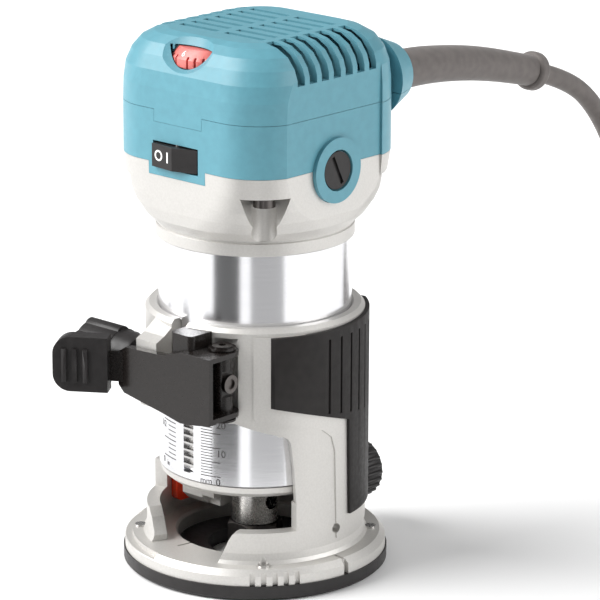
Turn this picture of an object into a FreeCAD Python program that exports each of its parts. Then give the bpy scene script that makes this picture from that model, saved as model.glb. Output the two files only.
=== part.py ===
import FreeCAD, Part
import math
import os

from FreeCAD import Vector

# Corded trim router. Millimetres, +Z up, -Y front, +X the side with the visible brush cap.
# The origin is on the spindle axis, in the underside of the sub-base.

# Base
PLATE_R = 45.0
PLATE_TOP = 4.8
PLATE_BORE_R = 16.0
FLANGE_R = 44.5
FLANGE_TOP = 10.0
FLANGE_BORE_R = 26.5
COLLAR_IN_R = 32.6
COLLAR_R = 37.0
COLLAR_TOP = 91.0
WINDOW_TOP = 54.0
SPLIT_HALF = 3.2
BASE_SCREW_R = 39.2
BASE_SCREW_ANGLES = (-42.6, -138.5, 42.6, 138.5)
GUIDE_HOLE_Z = 18.6
GUIDE_HOLE_R = 2.5
SIDE_HOLE_R = 1.65

# Depth adjuster, its rack and the clamping lever
ADJUSTER_Y = -35.9
ADJUSTER_Z = 74.2
SHAFT_R = 2.5
RACK_PITCH = 0.8 * math.pi
PINION_TEETH = 10
PINION_TIP_R = 4.55
PINION_ROOT_R = 3.1
RACK_HALF = 2.3
RACK_BOTTOM = 38.0
RACK_TOP = 84.5
TRUNNION_X = 19.0
TRUNNION_R = 3.4
CAM_R = 5.4
LEVER_FACE = -47.6
LEVER_STEEL = 1.7
PAD_ANGLE = 34.0

# Motor
BARREL_R = 32.5
BARREL_IN_R = 29.5
BARREL_BOTTOM = 34.9
BARREL_TOP = 114.8
HOUSING_TOP = 143.2
COVER_SEAM = 161.0
COVER_TOP = 185.0
COVER_WALL = 2.6
BRUSH_Z = 142.0
CORNER_SCREWS = ((27.4, -24.9), (-27.4, -24.9), (27.4, 26.9), (-27.4, 26.9))
SWITCH_X = -1.8
SWITCH_Z = 146.0
SWITCH_PIN_Y = -34.6
SWITCH_PIN_R = 0.9
DIAL_X = -0.6
DIAL_Y = -18.4
DIAL_R = 14.2
SIDE_VENT_START = -16.6
SIDE_VENT_PITCH = 5.75
LOCK_Z = 21.0
LOCK_R = 2.5

# Spindle and bearings
NOSE_R = 8.0
NUT_BOTTOM = 5.4
NUT_TOP = 13.0
COLLET_BORE_R = 3.175
BEARINGS = ((36.0, 44.0, 6.0, 14.0), (152.0, 159.0, 4.0, 11.0))

# Cord: out of the guard, down, and into a coil on the floor with the plug lying on it
CORD_R = 3.5
EXIT_SLOPE = -17.0
CORD_ROUTE = (
    (20.0, 123.0, 152.3), (20.0, 142.0, 146.5), (21.0, 157.5, 133.5), (24.0, 167.0, 114.0),
    (28.0, 172.0, 86.0), (32.0, 174.0, 58.0), (36.5, 177.5, 36.0), (43.0, 186.5, 19.0),
    (50.0, 200.5, 8.6), (55.3, 217.0, 4.6), (58.6, 234.6, 4.5),
)
LEAD_ROUTE = (
    (-13.0, 226.9, 18.8), (2.3, 221.3, 18.8), (18.6, 221.9, 18.8), (33.5, 228.5, 19.0),
    (44.9, 240.3, 20.8), (51.0, 255.4, 23.5), (51.0, 271.6, 23.5),
)
COIL_CENTRE = (12.0, 271.0)
COIL_INNER_TURN = 30.2
COIL_OUTER_TURN = 51.8
COIL_Z = (0.8, 15.2)
TIE = 0.8
TIE_ANGLES = (85.0, 94.0)


def cyl(radius, z0, z1, x=0.0, y=0.0):
    return Part.makeCylinder(radius, z1 - z0, Vector(x, y, z0))


def cyl_x(radius, x0, x1, y, z):
    return Part.makeCylinder(radius, x1 - x0, Vector(x0, y, z), Vector(1, 0, 0))


def cyl_y(radius, y0, y1, x, z):
    return Part.makeCylinder(radius, y1 - y0, Vector(x, y0, z), Vector(0, 1, 0))


def cone(r0, r1, z0, z1, x=0.0, y=0.0):
    return Part.makeCone(r0, r1, z1 - z0, Vector(x, y, z0))


def ring(r_in, r_out, z0, z1):
    return cyl(r_out, z0, z1).cut(cyl(r_in, z0 - 1, z1 + 1))


def block(x0, x1, y0, y1, z0, z1):
    return Part.makeBox(x1 - x0, y1 - y0, z1 - z0, Vector(x0, y0, z0))


def pie(radius, z0, z1, start, end):
    wedge = Part.makeCylinder(radius, z1 - z0, Vector(0, 0, z0), Vector(0, 0, 1), end - start)
    wedge.rotate(Vector(0, 0, 0), Vector(0, 0, 1), start)
    return wedge


def arc_wall(r_in, r_out, z0, z1, start, end):
    return pie(r_out, z0, z1, start, end).cut(cyl(r_in, z0 - 1, z1 + 1))


def turned(shape, angle):
    copy = shape.copy()
    copy.rotate(Vector(0, 0, 0), Vector(0, 0, 1), angle)
    return copy


def prism(points, sweep):
    corners = [Vector(*p) for p in points]
    return Part.Face(Part.makePolygon(corners + corners[:1])).extrude(Vector(*sweep))


def revolved(profile):
    corners = [Vector(r, 0, z) for r, z in profile]
    face = Part.Face(Part.makePolygon(corners + corners[:1]))
    return face.revolve(Vector(0, 0, 0), Vector(0, 0, 1), 360)


def joined(shapes):
    result = shapes[0]
    for shape in shapes[1:]:
        result = result.fuse(shape)
    return result.removeSplitter()


def hexagon(across_flats, z0, z1, x=0.0, y=0.0):
    radius = across_flats / math.sqrt(3)
    corners = []
    for k in range(6):
        angle = math.radians(60 * k)
        corners.append((x + radius * math.cos(angle), y + radius * math.sin(angle), z0))
    return prism(corners, (0, 0, z1 - z0))


def rounded_wire(z, half_x, front, rear, corner):
    """A closed rounded rectangle at height z: four straights joined by four quarter arcs."""
    left, right = -half_x, half_x
    mid = corner * (1 - math.sqrt(0.5))
    edges = []
    spots = (
        ((right - corner, front), (right - mid, front + mid), (right, front + corner)),
        ((right, rear - corner), (right - mid, rear - mid), (right - corner, rear)),
        ((left + corner, rear), (left + mid, rear - mid), (left, rear - corner)),
        ((left, front + corner), (left + mid, front + mid), (left + corner, front)),
    )
    for index, (start, middle, end) in enumerate(spots):
        a, b, c = [Vector(x, y, z) for x, y in (start, middle, end)]
        edges.append(Part.Arc(a, b, c).toShape())
        after = spots[(index + 1) % 4][0]
        edges.append(Part.makeLine(c, Vector(after[0], after[1], z)))
    return Part.Wire(edges)


def head_loft(sections, inset=0.0):
    wires = []
    for z, half_x, front, rear, corner in sections:
        wires.append(rounded_wire(z, half_x - inset, front + inset, rear - inset, corner - inset))
    return Part.makeLoft(wires, True, True)


def save(name, shape):
    shape.exportStep("parts/" + name + ".step")


def group(shapes):
    return Part.makeCompound(shapes)


# ---------------------------------------------------------------- base

def base_screw_spots():
    angles = [math.radians(angle) for angle in BASE_SCREW_ANGLES]
    return [(BASE_SCREW_R * math.cos(a), BASE_SCREW_R * math.sin(a)) for a in angles]


def sub_base_plate():
    plate = cyl(PLATE_R, 0.8, PLATE_TOP).fuse(cone(PLATE_R - 0.8, PLATE_R, 0, 0.8))
    plate = plate.cut(cyl(PLATE_BORE_R, -1, PLATE_TOP + 1))
    for x, y in base_screw_spots():
        plate = plate.cut(cyl(2.1, -1, PLATE_TOP + 1, x, y))
        plate = plate.cut(cone(4.2, 2.1, 0.4, 2.5, x, y))
        plate = plate.cut(cyl(4.2, -1, 0.4, x, y))
    return plate


def sub_base_screws():
    screws = []
    for x, y in base_screw_spots():
        screw = cone(4.0, 2.0, 0.5, 2.5, x, y).fuse(cyl(2.0, 2.5, FLANGE_TOP + 0.6, x, y))
        slot = block(-3, 3, -0.4, 0.4, 0, 1.1)
        slot.translate(Vector(x, y, 0))
        screws.append(screw.cut(slot))
    return group(screws)


def flange():
    profile = (
        (FLANGE_BORE_R, PLATE_TOP), (FLANGE_R, PLATE_TOP), (FLANGE_R, 8.1),
        (FLANGE_R - 2.0, FLANGE_TOP), (FLANGE_BORE_R + 0.8, FLANGE_TOP),
        (FLANGE_BORE_R, FLANGE_TOP - 0.8),
    )
    body = revolved(profile)
    for index in range(5):
        slot = block(FLANGE_R - 1.1, FLANGE_R + 2, -0.9, 0.9, PLATE_TOP - 1, FLANGE_TOP - 0.9)
        body = body.cut(turned(slot, -48.0 + 4.9 * index))
    notch = block(FLANGE_R - 1.6, FLANGE_R + 2, -1.0, 1.0, PLATE_TOP - 1, FLANGE_TOP + 1)
    groove = block(COLLAR_R + 2.0, FLANGE_R, -0.6, 0.6, FLANGE_TOP - 0.5, FLANGE_TOP + 1)
    floor_groove = block(FLANGE_BORE_R, 36.0, -0.5, 0.5, FLANGE_TOP - 0.4, FLANGE_TOP + 1)
    ledge = arc_wall(FLANGE_R - 2.6, FLANGE_R + 1, FLANGE_TOP - 1.6, FLANGE_TOP + 1, 200, 263)
    for piece, angle in ((notch, -3.6), (groove, -3.6), (floor_groove, 260.0), (ledge, 0.0)):
        body = body.cut(turned(piece, angle))
    return body


def collar():
    profile = (
        (COLLAR_IN_R, FLANGE_TOP - 0.5), (COLLAR_R + 1.6, FLANGE_TOP - 0.5),
        (COLLAR_R + 0.5, FLANGE_TOP + 1.2), (COLLAR_R, FLANGE_TOP + 3.5), (COLLAR_R, COLLAR_TOP - 1.3),
        (COLLAR_R - 1.3, COLLAR_TOP), (COLLAR_IN_R + 0.7, COLLAR_TOP), (COLLAR_IN_R, COLLAR_TOP - 0.7),
    )
    return revolved(profile)


def wall_prism(outline, middle):
    """A prism that points outwards through the wall. The outline is (distance round, height)."""
    return turned(prism([(20, t, z) for t, z in outline], (45, 0, 0)), middle)


def front_window():
    """What is taken out of the collar's wall: the window, and the way in between the low walls."""
    far = 60
    upper = pie(far, 30.0, WINDOW_TOP, 195, 325)
    right = pie(far, 20.6, 30.0, 270, 335)
    side = wall_prism(((-8, 29.9), (6.4, 29.9), (5.6, 42.0), (4.4, 51.4), (3.6, 53.0), (1.8, WINDOW_TOP),
                       (-8, WINDOW_TOP)), 325)
    left = pie(far, 20.2, 32.0, 202, 270)
    left_ramp = wall_prism(((0, 12.0), (-3.0, 17.6), (-6.5, 20.4), (6, 20.4), (6, 12.0)), 247)
    way_in = pie(far, FLANGE_TOP, 27.0, 247, 294)
    right_ramp = wall_prism(((-3, FLANGE_TOP), (0, FLANGE_TOP), (3.4, 17.8), (4.6, 19.8), (6.6, 21),
                             (-3, 21)), 294)
    arch = prism(((34, -60, WINDOW_TOP - 1), (-34, -60, WINDOW_TOP - 1), (-20, -60, 58.8),
                  (20, -60, 58.8)), (0, 50, 0))
    arch = arch.cut(pie(far, 40, 70, 325, 360))
    return joined([upper, right, side, left, left_ramp, way_in, right_ramp, arch])


def raised_frame():
    """Low step of the casting round the right-hand grip, down the leg beside the window."""
    outline = ((-32.6, 88.6), (-32.6, 61.6), (-31.0, 59.6), (-13.0, 54.6), (-9.0, 51.4), (-7.4, 46.0),
               (-6.4, 15.0), (26.0, 15.0), (26.0, 88.6))
    step = wall_prism(outline, 10.0).common(ring(COLLAR_R - 0.6, COLLAR_R + 0.45, 10, 100))
    return step.cut(wall_prism([(t, z) for t, z in GRIP_OUTLINE], 10.0))


def base_casting():
    body = collar().cut(front_window())
    body = body.fuse(flange())
    ear_profile = (
        (-12.5, -34.0, 90.3), (-12.5, -37.4, 88.0), (-12.5, -40.4, 86.0), (-12.5, -44.1, 84.4),
        (-12.5, -44.1, 66.0), (-12.5, -42.0, 61.0), (-12.5, -34.0, 58.8),
    )
    left_ear = prism(ear_profile, (12.5 - SPLIT_HALF, 0, 0))
    body = body.fuse(left_ear).fuse(ear_core())
    rear_boss = cyl_y(6.5, COLLAR_R - 2.5, 43.0, 0, GUIDE_HOLE_Z)
    body = body.fuse(rear_boss).fuse(raised_frame())
    body = body.cut(block(-SPLIT_HALF, SPLIT_HALF, -60, -25, 50, 100))
    body = body.cut(cyl(COLLAR_IN_R, FLANGE_TOP, 100))
    body = body.cut(cyl_x(SHAFT_R + 0.06, -60, 30, ADJUSTER_Y, ADJUSTER_Z))
    body = body.cut(cyl_x(5.4, -60, -12.5, ADJUSTER_Y, ADJUSTER_Z))
    body = body.cut(cyl_x(9.2, -60, -17.6, ADJUSTER_Y, ADJUSTER_Z))
    body = body.cut(cyl_x(10.6, -60, -26.0, ADJUSTER_Y, ADJUSTER_Z))
    body = body.cut(cyl_x(SIDE_HOLE_R, 30, 40, 0, GUIDE_HOLE_Z))
    body = body.cut(cyl_y(GUIDE_HOLE_R, 30, 45, 0, GUIDE_HOLE_Z))
    body = body.cut(cyl(CAM_R + 0.4, 61.0, 88.0, TRUNNION_X, ADJUSTER_Y))
    for x, y in base_screw_spots():
        body = body.cut(cyl(2.0, 0, FLANGE_TOP + 3, x, y))
    return body.removeSplitter()


def ear_core():
    return block(SPLIT_HALF, 10.4, -41.4, -33.5, 62.0, 87.0)


def clamp_block():
    """Steel shoe that caps the right-hand ear and takes the push of the lever's cams."""
    body = block(SPLIT_HALF, 13.1, -44.4, -32.0, 60.5, 90.0)
    upright = [edge for edge in body.Edges if abs(edge.tangentAt(edge.FirstParameter).z) > 0.9]
    front = [edge for edge in upright if edge.CenterOfMass.y < -40]
    body = body.makeFillet(1.8, front)
    body = body.cut(cyl(COLLAR_R + 0.02, 50, 100)).cut(ear_core())
    return body.cut(cyl_x(SHAFT_R + 0.06, 0, 30, ADJUSTER_Y, ADJUSTER_Z))


GRIP_OUTLINE = ((-28.2, 88.4), (-28.2, 64.2), (-1.5, 55.8), (-0.6, 22.2), (28.0, 22.2), (28.0, 89.6))


def grip_patch(outline, middle):
    """A rubber pad bent round the collar. The outline is (distance round, height) about an angle."""
    return wall_prism(outline, middle).common(ring(COLLAR_R + 0.02, COLLAR_R + 1.5, 10, 100))


def grip_right():
    body = grip_patch(GRIP_OUTLINE, 10.0).cut(raised_frame())
    for index in range(7):
        groove = block(COLLAR_R + 0.8, 45, -0.45, 0.45, 60.0 - 0.9 * index, 85.6)
        body = body.cut(turned(groove, -7.0 + 8.2 * index))
    return body


def grip_left():
    outline = ((24.0, 88.6), (24.0, 60.0), (4.0, 55.6), (4.0, 33.0), (-28.0, 33.0), (-28.0, 89.6))
    body = grip_patch(outline, 158.0)
    for index in range(6):
        groove = block(COLLAR_R + 0.8, 45, -0.45, 0.45, 58.5, 85.6)
        body = body.cut(turned(groove, 176.0 - 8.2 * index))
    return body


# ---------------------------------------------------------------- clamp lever and depth adjuster

def trunnion():
    pin = cyl(TRUNNION_R, 61.0, 86.9, TRUNNION_X, ADJUSTER_Y)
    pin = pin.cut(cyl_x(SHAFT_R + 0.06, 0, 40, ADJUSTER_Y, ADJUSTER_Z))
    pin = pin.cut(block(TRUNNION_X + 2.3, 30, -60, -20, 69.8, 78.6))
    return pin.cut(cyl(1.2, 85.4, 88, TRUNNION_X, ADJUSTER_Y))


def trunnion_clips():
    clips = []
    for z in (61.3, 85.6):
        clip = cyl(TRUNNION_R + 1.1, z, z + 0.7, TRUNNION_X, ADJUSTER_Y)
        clips.append(clip.cut(cyl(TRUNNION_R + 0.02, z - 1, z + 2, TRUNNION_X, ADJUSTER_Y)))
    return group(clips)


LEVER_OUTLINE = (
    (-17.5, 79.6), (-14.0, 81.8), (-5.0, 82.1), (3.0, 82.5), (11.0, 85.1), (24.4, 85.3),
    (24.4, 62.7), (17.6, 61.6), (11.0, 60.9), (3.0, 62.6), (-8.0, 64.5), (-15.0, 65.8), (-17.5, 68.2),
)


def lever_outline_inset(step):
    centre_z = 73.7
    inner = []
    for x, z in LEVER_OUTLINE:
        shifted = z - step if z > centre_z else z + step
        inner.append((x + step if x < -15.0 else x, shifted))
    return inner


def lever_plate():
    shell = prism([(x, LEVER_FACE, z) for x, z in LEVER_OUTLINE], (0, 3.0, 0))
    hollow = [(x, LEVER_FACE + LEVER_STEEL, z) for x, z in lever_outline_inset(LEVER_STEEL)]
    shell = shell.cut(prism(hollow, (0, 10.0, 0)))
    flanges = []
    for z in (62.9, 83.6):
        tongue = block(13.5, 24.4, LEVER_FACE + 0.4, ADJUSTER_Y, z, z + LEVER_STEEL)
        tongue = tongue.fuse(cyl(CAM_R, z, z + LEVER_STEEL, TRUNNION_X, ADJUSTER_Y))
        flanges.append(tongue.cut(cyl(TRUNNION_R + 0.06, z - 1, z + 4, TRUNNION_X, ADJUSTER_Y)))
    neck = prism(((-15.5, LEVER_FACE, 69.5), (-15.5, LEVER_FACE + LEVER_STEEL, 69.5),
                  (-24.0, LEVER_FACE - 3.6, 69.5), (-24.0, LEVER_FACE - 5.4, 69.5)), (0, 0, 10.5))
    tang = block(0, 13.0, -LEVER_STEEL, 0, 69.5, 80.0)
    tang = placed_on_pad(tang)
    return joined([shell] + flanges + [neck, tang])


def placed_on_pad(shape):
    """Moves a shape drawn along +X from the origin onto the lever's angled end."""
    copy = shape.copy()
    copy.rotate(Vector(0, 0, 0), Vector(0, 0, 1), 180.0 + PAD_ANGLE)
    copy.translate(Vector(-20.0, -49.0, 0))
    return copy


def lever_pad():
    pad = block(0, 18.6, -1.9, 4.4, 66.2, 85.0)
    far_edges = [edge for edge in pad.Edges if edge.CenterOfMass.x > 18 and
                 abs(edge.tangentAt(edge.FirstParameter).y) > 0.9]
    pad = pad.makeFillet(6.0, far_edges)
    ribs = []
    for index in range(3):
        x = 6.6 + 3.6 * index
        ribs.append(block(x, x + 1.6, 4.4, 5.2, 69.5, 81.0))
    return placed_on_pad(joined([pad] + ribs)).cut(lever_plate())


def adjuster_shaft():
    return cyl_x(SHAFT_R, -40.0, TRUNNION_X + 2.3, ADJUSTER_Y, ADJUSTER_Z)


def adjuster_knob():
    knob = cyl_x(8.6, -42.5, -27.0, ADJUSTER_Y, ADJUSTER_Z)
    for index in range(6):
        angle = math.radians(60 * index + 30)
        y = ADJUSTER_Y + 6.6 * math.cos(angle)
        z = ADJUSTER_Z + 6.6 * math.sin(angle)
        knob = knob.fuse(cyl_x(3.0, -42.5, -27.0, y, z))
    neck = Part.makeCone(8.4, 7.6, 8.4, Vector(-27.2, ADJUSTER_Y, ADJUSTER_Z), Vector(1, 0, 0))
    knob = knob.fuse(neck).removeSplitter()
    return knob.cut(cyl_x(SHAFT_R + 0.01, -40.0, 0, ADJUSTER_Y, ADJUSTER_Z))


def adjuster_washer():
    outer = cyl_x(5.0, -18.7, -12.6, ADJUSTER_Y, ADJUSTER_Z)
    return outer.cut(cyl_x(SHAFT_R + 0.01, -30, 0, ADJUSTER_Y, ADJUSTER_Z))


def pinion():
    half = RACK_HALF - 0.2
    gear = cyl_x(PINION_ROOT_R, -half, half, ADJUSTER_Y, ADJUSTER_Z)
    teeth = []
    for index in range(PINION_TEETH):
        profile = ((-half, PINION_ROOT_R - 0.4, -0.62), (-half, PINION_TIP_R, -0.28),
                   (-half, PINION_TIP_R, 0.28), (-half, PINION_ROOT_R - 0.4, 0.62))
        tooth = prism(profile, (2 * half, 0, 0))
        tooth.rotate(Vector(0, 0, 0), Vector(1, 0, 0), 360.0 / PINION_TEETH * index)
        tooth.translate(Vector(0, ADJUSTER_Y, ADJUSTER_Z))
        teeth.append(tooth)
    gear = joined([gear] + teeth)
    return gear.cut(cyl_x(SHAFT_R + 0.01, -9, 9, ADJUSTER_Y, ADJUSTER_Z))


def adjuster_cap():
    start = TRUNNION_X + 2.35
    cap = cyl_x(3.1, start, start + 1.7, ADJUSTER_Y, ADJUSTER_Z)
    return cap.cut(cyl_x(1.7, start + 0.9, start + 3, ADJUSTER_Y, ADJUSTER_Z))


# ---------------------------------------------------------------- guide thumbscrew

def thumbscrew_knob():
    knob = cyl_y(9.9, 46.0, 54.6, 0, GUIDE_HOLE_Z)
    for index in range(24):
        angle = math.radians(15 * index)
        x = 9.9 * math.cos(angle)
        z = GUIDE_HOLE_Z + 9.9 * math.sin(angle)
        knob = knob.fuse(cyl_y(0.75, 46.6, 54.0, x, z))
    return knob.removeSplitter().cut(cyl_y(2.41, 45, 52.0, 0, GUIDE_HOLE_Z))


def thumbscrew_stud():
    return cyl_y(2.4, 34.0, 52.0, 0, GUIDE_HOLE_Z)


# ---------------------------------------------------------------- motor: barrel and nose

def barrel():
    tube = revolved(((BARREL_IN_R, BARREL_BOTTOM), (BARREL_R - 0.5, BARREL_BOTTOM),
                     (BARREL_R, BARREL_BOTTOM + 0.5), (BARREL_R, BARREL_TOP), (BARREL_IN_R, BARREL_TOP)))
    slot = block(-RACK_HALF, RACK_HALF, -40, -30.0, RACK_BOTTOM - 0.5, RACK_TOP + 0.5)
    return tube.cut(slot)


def depth_rack():
    """Toothed strip set flush in the barrel. A gap faces the pinion at rest."""
    edge = RACK_HALF - 0.02
    strip = block(-edge, edge, -30.75, -30.02, RACK_BOTTOM, RACK_TOP)
    teeth = []
    first = math.ceil((RACK_BOTTOM + 1.0 - ADJUSTER_Z) / RACK_PITCH - 0.5)
    last = math.floor((RACK_TOP - 1.0 - ADJUSTER_Z) / RACK_PITCH - 0.5)
    for index in range(first, last + 1):
        z = ADJUSTER_Z + (index + 0.5) * RACK_PITCH
        profile = ((-edge, -30.5, z - 0.75), (-edge, -32.4, z - 0.32),
                   (-edge, -32.4, z + 0.32), (-edge, -30.5, z + 0.75))
        teeth.append(prism(profile, (2 * edge, 0, 0)))
    return joined([strip] + teeth)


def nose_cap():
    body = revolved(((14.02, 34.0), (14.02, 45.0), (20.0, 46.5), (29.45, 46.5), (29.45, 34.9),
                     (32.3, 34.8), (31.9, 32.8), (30.0, 31.2), (8.6, 31.2), (8.6, 34.0)))
    return body


def lock_guide():
    """Cast boss under the nose that carries the spindle lock."""
    body = block(-25.2, -10.4, -9.6, 9.6, 16.4, 31.15)
    edges = [edge for edge in body.Edges if edge.CenterOfMass.z < 17 and
             abs(edge.tangentAt(edge.FirstParameter).x) > 0.9]
    body = body.makeChamfer(2.6, edges)
    body = body.cut(block(-15.8, -5, -20, -6.4, 15, 20.0))
    body = body.cut(cyl_x(LOCK_R + 0.06, -40, 0, 0, LOCK_Z))
    return body.cut(cyl_x(4.4, -27, -14.4, 0, LOCK_Z))


def lock_button():
    body = block(-31.2, -28.4, -9.0, 9.0, 14.4, 28.6)
    edges = [edge for edge in body.Edges if abs(edge.tangentAt(edge.FirstParameter).x) > 0.9]
    body = body.makeFillet(2.4, edges)
    stem = cyl_x(3.9, -28.5, -22.4, 0, LOCK_Z)
    return body.fuse(stem).removeSplitter().cut(cyl_x(LOCK_R + 0.01, -26.0, -10, 0, LOCK_Z))


def lock_pin():
    return cyl_x(LOCK_R, -26.0, -8.4, 0, LOCK_Z)


def lock_spring():
    return cyl_x(3.7, -22.3, -14.5, 0, LOCK_Z).cut(cyl_x(2.9, -30, 0, 0, LOCK_Z))


# ---------------------------------------------------------------- motor: head covers

HOUSING_SECTIONS = (
    (120.4, 33.6, -33.6, 33.6, 33.3), (123.2, 35.2, -35.0, 35.3, 31.0), (127.2, 36.0, -35.6, 36.3, 26.8),
    (131.4, 36.5, -35.8, 36.9, 23.4), (137.0, 36.8, -35.9, 37.6, 20.4),
    (HOUSING_TOP, 37.0, -36.0, 38.0, 19.0),
)
BAND_SECTIONS = ((HOUSING_TOP + 0.1, 37.0, -36.0, 38.0, 19.0), (COVER_SEAM - 0.15, 37.0, -36.0, 38.0, 19.0))
TOP_SECTIONS = (
    (COVER_SEAM, 37.0, -36.0, 38.0, 19.0), (168.0, 36.9, -35.8, 37.9, 19.0),
    (173.5, 36.4, -35.0, 37.3, 18.7), (178.0, 34.9, -33.2, 36.0, 18.0), (181.6, 32.2, -30.6, 33.8, 16.6),
    (184.0, 28.0, -27.4, 30.4, 14.6), (COVER_TOP, 23.4, -24.2, 27.2, 12.0),
)
PANEL_X = 35.9


def side_panels():
    """What is taken off both sides of the head, between the corner columns."""
    pieces = []
    for side in (1, -1):
        x0, x1 = sorted((side * PANEL_X, side * 60))
        pieces.append(block(x0, x1, -24.0, 22.0, 124.0, 182.0))
    return pieces


def motor_housing():
    neck = revolved(((BARREL_IN_R, BARREL_TOP), (33.0, BARREL_TOP), (33.4, BARREL_TOP + 0.4),
                     (33.4, 119.0), (32.9, 119.4), (32.9, 119.9), (33.7, 120.3), (34.3, 122.0), (34.3, 124.0),
                     (BARREL_IN_R, 124.0)))
    shoulder = head_loft(HOUSING_SECTIONS)
    cavity = head_loft(HOUSING_SECTIONS, 3.0)
    shell = shoulder.cut(cavity).cut(cyl(BARREL_IN_R, 110, 130))
    bosses = []
    for x, y in CORNER_SCREWS:
        bosses.append(cyl(8.6, 124.0, HOUSING_TOP, x, y).common(shoulder))
    bosses = [boss.cut(cyl(BARREL_IN_R, 110, 150)) for boss in bosses]
    body = joined([shell, neck] + bosses)
    for x, y in CORNER_SCREWS:
        out_x = math.copysign(3.2, x)
        out_y = math.copysign(2.8, y)
        body = body.cut(cone(3.0, 8.2, 121.4, 136.4, x + out_x, y + out_y))
        body = body.cut(cyl(4.2, 120, 136.4, x, y))
        body = body.cut(cyl(2.1, 130, 150, x, y))
    for panel in side_panels():
        body = body.cut(panel)
    body = body.cut(cyl_x(11.0, 29.0, 45, 0, BRUSH_Z)).cut(cyl_x(11.0, -45, -29.0, 0, BRUSH_Z))
    return body.cut(block(-14.1, 11.6, -45, -30, 138.9, 150))


def cord_hump():
    """Solid round hump at the rear that the cord guard comes out of, before it is split at the seam."""
    body = Part.makeCone(15.0, 10.2, 12.5, Vector(20, 32.5, 165.2), Vector(0, 1, 0))
    return body.cut(cyl_y(6.85, 30, 60, 20, 164.9))


def lower_cover():
    outer = head_loft(BAND_SECTIONS)
    body = outer.cut(head_loft(BAND_SECTIONS, COVER_WALL))
    solids = [body]
    for x, y in CORNER_SCREWS:
        solids.append(cyl(5.0, HOUSING_TOP + 0.1, COVER_SEAM - 0.15, x, y).common(outer))
    solids.append(block(-14.0, 11.5, -36.0, -33.2, 139.0, HOUSING_TOP + 2))
    body = joined(solids)
    for panel in side_panels():
        body = body.cut(panel)
    body = joined([body] + [turned(cyl_x(10.9, 31.0, 37.3, 0, BRUSH_Z), side) for side in (0, 180)])
    for side in (0, 180):
        body = body.cut(turned(cyl_x(6.9, 35.4, 40, 0, BRUSH_Z), side))
        body = body.cut(turned(cyl_x(5.2, 20, 40, 0, BRUSH_Z), side))
    below = block(0, 50, 30, 60, 140, COVER_SEAM - 0.15)
    hump = cord_hump().common(below).cut(block(0, 50, 30, 38.0 - COVER_WALL, 140, 180))
    body = body.fuse(hump)
    body = body.cut(cyl_y(6.85, 34, 60, 20, 164.9))
    body = body.cut(block(SWITCH_X - 10.2, SWITCH_X + 10.2, -40, -30, SWITCH_Z - 4.4, SWITCH_Z + 4.5))
    body = body.cut(cyl(SWITCH_PIN_R, SWITCH_Z - 5.4, SWITCH_Z + 5.5, SWITCH_X, SWITCH_PIN_Y))
    body = body.cut(block(-11.6, 10.1, -40, -33.4, 156.8, COVER_SEAM + 1))
    for x, y in CORNER_SCREWS:
        body = body.cut(cyl(1.8, 140, 159, x, y))
    return body.removeSplitter()


def top_cover():
    outer = head_loft(TOP_SECTIONS)
    body = outer.cut(head_loft(TOP_SECTIONS[:-1], COVER_WALL))
    for panel in side_panels():
        body = body.cut(panel)
    scoop_wall = block(DIAL_X - 21.0, DIAL_X + 21.0, -36.0, -24.4, 174.0, 184.5).common(outer)
    body = body.fuse(scoop_wall)
    front_tab = block(-11.5, 10.0, -36.0, -33.4, 156.9, COVER_SEAM + 1)
    above = block(0, 50, 30, 60, COVER_SEAM, 190)
    hump = cord_hump().common(above).cut(block(0, 50, 30, 38.0 - COVER_WALL, 140, 190))
    body = body.fuse(front_tab).fuse(hump)
    body = body.cut(cyl_y(6.85, 34, 60, 20, 164.9))
    for row in range(7):
        y = -15.4 + 5.6 * row
        for x0, x1, low in ((-19.0, -2.2, 176.0), (1.3, 18.5, 176.0)):
            body = body.cut(block(x0, x1, y - 1.15, y + 1.15, low, 190))
        for side in (1, -1):
            x0, x1 = sorted((side * 21.8, side * 40.0))
            side_y = SIDE_VENT_START + SIDE_VENT_PITCH * row
            body = body.cut(block(x0, x1, side_y - 1.75, side_y + 1.75, 172.6, 190))
    scoop = Part.makeSphere(21.0, Vector(DIAL_X, -45.0, 192.5))
    slot = cyl(DIAL_R + 0.5, 174.9, 181.9, DIAL_X, DIAL_Y).common(block(-40, 40, -45, -20, 170, 190))
    return body.cut(scoop).cut(slot).removeSplitter()


def housing_screws():
    screws = []
    for x, y in CORNER_SCREWS:
        head = cyl(3.7, 133.0, 136.35, x, y).cut(cyl(1.6, 132, 135.0, x, y))
        screws.append(head.fuse(cyl(1.75, 136.0, 158.0, x, y)).removeSplitter())
    return group(screws)


# ---------------------------------------------------------------- motor: electrical parts

def brush_holders():
    pieces = []
    for side in (0, 180):
        sleeve = block(11.0, 34.2, -4.2, 4.2, BRUSH_Z - 4.8, BRUSH_Z + 4.8)
        sleeve = sleeve.common(cyl_x(5.1, 10, 36, 0, BRUSH_Z))
        sleeve = sleeve.cut(block(5, 40, -3.1, 3.1, BRUSH_Z - 3.6, BRUSH_Z + 3.6))
        pieces.append(turned(sleeve, side))
    return group(pieces)


def brushes():
    pieces = []
    for side in (0, 180):
        piece = block(10.2, 22.0, -3.0, 3.0, BRUSH_Z - 3.5, BRUSH_Z + 3.5)
        pieces.append(turned(piece, side))
    return group(pieces)


def brush_springs():
    pieces = []
    for side in (0, 180):
        sleeve = cyl_x(2.6, 22.1, 33.4, 0, BRUSH_Z).cut(cyl_x(1.9, 20, 40, 0, BRUSH_Z))
        pieces.append(turned(sleeve, side))
    return group(pieces)


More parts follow.
